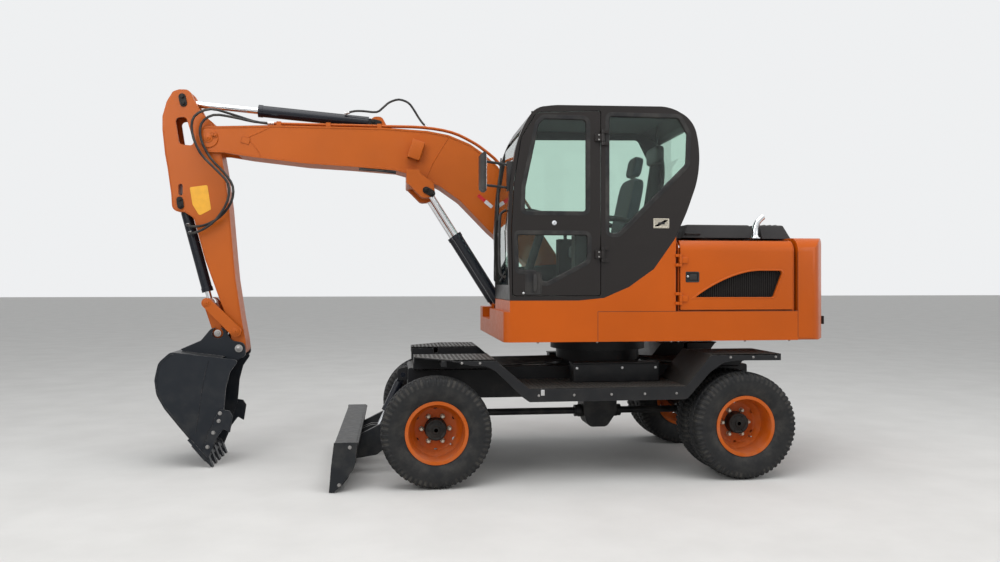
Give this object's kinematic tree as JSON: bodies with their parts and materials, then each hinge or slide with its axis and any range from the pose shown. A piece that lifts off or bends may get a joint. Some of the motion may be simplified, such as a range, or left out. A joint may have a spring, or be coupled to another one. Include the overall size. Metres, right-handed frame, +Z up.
{
  "type": "wheeled excavator",
  "caption": "Compact wheeled excavator with a slewing house and cab, a boom, stick and bucket on hydraulic cylinders, a dozer blade and twin rear wheels.",
  "frame": {"origin": "on the ground under the slew axis", "axes": "+X forward over the dozer blade, +Y to the machine's left, the cab side, +Z up"},
  "size_m": [5.6293, 2.135, 3.27],
  "materials": {
    "orange_paint": "gloss orange enamel",
    "rim_paint": "orange enamel, dusty",
    "chassis_paint": "satin black enamel",
    "bucket_steel": "black paint, worn at the edges",
    "cab_paint": "dark brown-grey semi-gloss",
    "cylinder_paint": "dark blue-black gloss",
    "chrome": "hard chrome",
    "bare_steel": "machined",
    "tyre_rubber": "dusty black rubber",
    "hose_rubber": "matt black hose",
    "tinted_glass": "green-tinted safety glass",
    "seat_fabric": "dark woven seat cover"
  },
  "bodies": {
    "chassis": {"frame": "chassis_paint", "fenders": "chassis_paint", "drivetrain": "chassis_paint", "axles": "chassis_paint"},
    "knuckle_left": {"knuckle_left": "chassis_paint"},
    "knuckle_right": {"knuckle_right": "chassis_paint"},
    "tie_rod": {"tie_rod": "bare_steel"},
    "wheel_fl": {"tyre_fl": "tyre_rubber", "rim_fl": "rim_paint"},
    "wheel_fr": {"tyre_fr": "tyre_rubber", "rim_fr": "rim_paint"},
    "wheels_rl": {"tyres_rl": "tyre_rubber", "rims_rl": "rim_paint"},
    "wheels_rr": {"tyres_rr": "tyre_rubber", "rims_rr": "rim_paint"},
    "blade": {"blade": "chassis_paint"},
    "blade_cylinder": {"blade_barrel": "cylinder_paint"},
    "blade_piston": {"blade_rod": "chrome"},
    "house": {"slew_ring": "chassis_paint", "deck": "orange_paint", "cab": "cab_paint", "cab_glass": "tinted_glass", "seat": "seat_fabric", "console": "cab_paint", "hood": "orange_paint", "counterweight": "orange_paint", "engine": "chassis_paint", "exhaust": "chrome", "mirror": "cab_paint"},
    "door": {"door": "cab_paint", "door_glass": "tinted_glass"},
    "side_hatch": {"side_hatch": "orange_paint"},
    "engine_lid": {"engine_lid": "cab_paint"},
    "boom": {"boom": "orange_paint", "boom_pipes": "orange_paint", "work_lamp": "orange_paint", "hoses": "hose_rubber"},
    "boom_cylinders": {"boom_barrels": "cylinder_paint"},
    "boom_pistons": {"boom_rods": "chrome"},
    "stick": {"stick": "orange_paint"},
    "stick_cylinder": {"stick_barrel": "cylinder_paint"},
    "stick_piston": {"stick_rod": "chrome"},
    "rocker": {"rocker": "orange_paint"},
    "link": {"link": "orange_paint"},
    "bucket": {"bucket": "bucket_steel"},
    "bucket_cylinder": {"bucket_barrel": "cylinder_paint"},
    "bucket_piston": {"bucket_rod": "chrome"}
  },
  "joints": [
    {"name": "slew", "type": "hinge", "parent": "chassis", "child": "house", "pos_m": [0, 0, 1], "axis": [0, 0, 1], "continuous": true},
    {"name": "steer_left", "type": "hinge", "parent": "chassis", "child": "knuckle_left", "pos_m": [1.493, 0.67, 0.43], "axis": [0, 0, 1], "range_deg": [-30, 30]},
    {"name": "steer_right", "type": "hinge", "parent": "chassis", "child": "knuckle_right", "pos_m": [1.493, -0.67, 0.43], "axis": [0, 0, 1], "range_deg": [-30, 30]},
    {"name": "tie_rod_pivot", "type": "hinge", "parent": "knuckle_left", "child": "tie_rod", "pos_m": [1.303, 0.67, 0.37], "axis": [0, 0, 1], "range_deg": [-30, 30]},
    {"name": "wheel_spin_fl", "type": "hinge", "parent": "knuckle_left", "child": "wheel_fl", "pos_m": [1.493, 0.8825, 0.43], "axis": [0, 1, 0], "continuous": true},
    {"name": "wheel_spin_fr", "type": "hinge", "parent": "knuckle_right", "child": "wheel_fr", "pos_m": [1.493, -0.8825, 0.43], "axis": [0, 1, 0], "continuous": true},
    {"name": "wheel_spin_rl", "type": "hinge", "parent": "chassis", "child": "wheels_rl", "pos_m": [-0.975, 0.7475, 0.43], "axis": [0, 1, 0], "continuous": true},
    {"name": "wheel_spin_rr", "type": "hinge", "parent": "chassis", "child": "wheels_rr", "pos_m": [-0.975, -0.7475, 0.43], "axis": [0, 1, 0], "continuous": true},
    {"name": "blade_lift", "type": "hinge", "parent": "chassis", "child": "blade", "pos_m": [1.64, 0, 0.47], "axis": [0, -1, 0], "range_deg": [-8, 25]},
    {"name": "blade_cylinder_pivot", "type": "hinge", "parent": "chassis", "child": "blade_cylinder", "pos_m": [1.74, 0, 0.779], "axis": [0, -1, 0], "range_deg": [-4.8, 13.93]},
    {"name": "blade_cylinder_stroke", "type": "slide", "parent": "blade_cylinder", "child": "blade_piston", "axis": [0.4199, 0, -0.9076], "range_m": [-0.106, 0.035]},
    {"name": "door_hinge", "type": "hinge", "parent": "house", "child": "door", "pos_m": [0.19, 0.948, 2.26], "axis": [0, 0, 1], "range_deg": [0, 100]},
    {"name": "side_hatch_hinge", "type": "hinge", "parent": "house", "child": "side_hatch", "pos_m": [-0.447, 0.944, 1.65], "axis": [0, 0, -1], "range_deg": [0, 95]},
    {"name": "engine_lid_hinge", "type": "hinge", "parent": "house", "child": "engine_lid", "pos_m": [-1.196, 0, 1.957], "axis": [0, -1, 0], "range_deg": [0, 45]},
    {"name": "boom_lift", "type": "hinge", "parent": "house", "child": "boom", "pos_m": [0.4, -0.34, 1.69], "axis": [0, -1, 0], "range_deg": [-43, 27]},
    {"name": "boom_cylinder_pivot", "type": "hinge", "parent": "house", "child": "boom_cylinders", "pos_m": [0.85, -0.34, 1.349], "axis": [0, -1, 0], "range_deg": [-44.87, 28.36]},
    {"name": "boom_cylinder_stroke", "type": "slide", "parent": "boom_cylinders", "child": "boom_pistons", "axis": [0.5357, 0, 0.8444], "range_m": [-0.392, 0.247]},
    {"name": "stick_swing", "type": "hinge", "parent": "boom", "child": "stick", "pos_m": [3.429, -0.34, 2.844], "axis": [0, 1, 0], "range_deg": [-85, 28], "deforming": ["hoses"]},
    {"name": "stick_cylinder_pivot", "type": "hinge", "parent": "boom", "child": "stick_cylinder", "pos_m": [1.977, -0.34, 3.035], "axis": [0, 1, 0], "range_deg": [-4.33, 1.76]},
    {"name": "stick_cylinder_stroke", "type": "slide", "parent": "stick_cylinder", "child": "stick_piston", "axis": [0.9967, 0, 0.0816], "range_m": [-0.497, 0.165]},
    {"name": "bucket_curl", "type": "hinge", "parent": "stick", "child": "bucket", "pos_m": [3.168, -0.34, 1.002], "axis": [0, 1, 0], "range_deg": [-12, 125]},
    {"name": "rocker_pivot", "type": "hinge", "parent": "stick", "child": "rocker", "pos_m": [3.193, -0.34, 1.154], "axis": [0, 1, 0], "range_deg": [-9.74, 96.75]},
    {"name": "link_pivot", "type": "hinge", "parent": "rocker", "child": "link", "pos_m": [3.437, -0.34, 1.402], "axis": [0, 1, 0], "range_deg": [-53, 5.54]},
    {"name": "bucket_cylinder_pivot", "type": "hinge", "parent": "stick", "child": "bucket_cylinder", "pos_m": [3.666, -0.34, 2.274], "axis": [0, 1, 0], "range_deg": [-8.63, 1.28]},
    {"name": "bucket_cylinder_stroke", "type": "slide", "parent": "bucket_cylinder", "child": "bucket_piston", "axis": [-0.254, 0, -0.9672], "range_m": [-0.05, 0.509]}
  ],
  "couplings": [
    {"joint": "steer_right", "follows": "steer_left", "ratio": 1},
    {"joint": "tie_rod_pivot", "follows": "steer_left", "ratio": -1},
    {"joint": "blade_cylinder_pivot", "follows": "blade_lift", "ratio": 0.5369},
    {"joint": "blade_cylinder_stroke", "follows": "blade_lift", "m_per_rad": -0.2391},
    {"joint": "boom_cylinder_pivot", "follows": "boom_lift", "ratio": 1.0318},
    {"joint": "boom_cylinder_stroke", "follows": "boom_lift", "m_per_rad": 0.5205},
    {"joint": "stick_cylinder_pivot", "follows": "stick_swing", "ratio": 0.045},
    {"joint": "stick_cylinder_stroke", "follows": "stick_swing", "m_per_rad": 0.334},
    {"joint": "rocker_pivot", "follows": "bucket_curl", "ratio": 0.77},
    {"joint": "link_pivot", "follows": "bucket_curl", "ratio": -0.42},
    {"joint": "bucket_cylinder_pivot", "follows": "bucket_curl", "ratio": -0.065},
    {"joint": "bucket_cylinder_stroke", "follows": "bucket_curl", "m_per_rad": 0.2325}
  ]
}
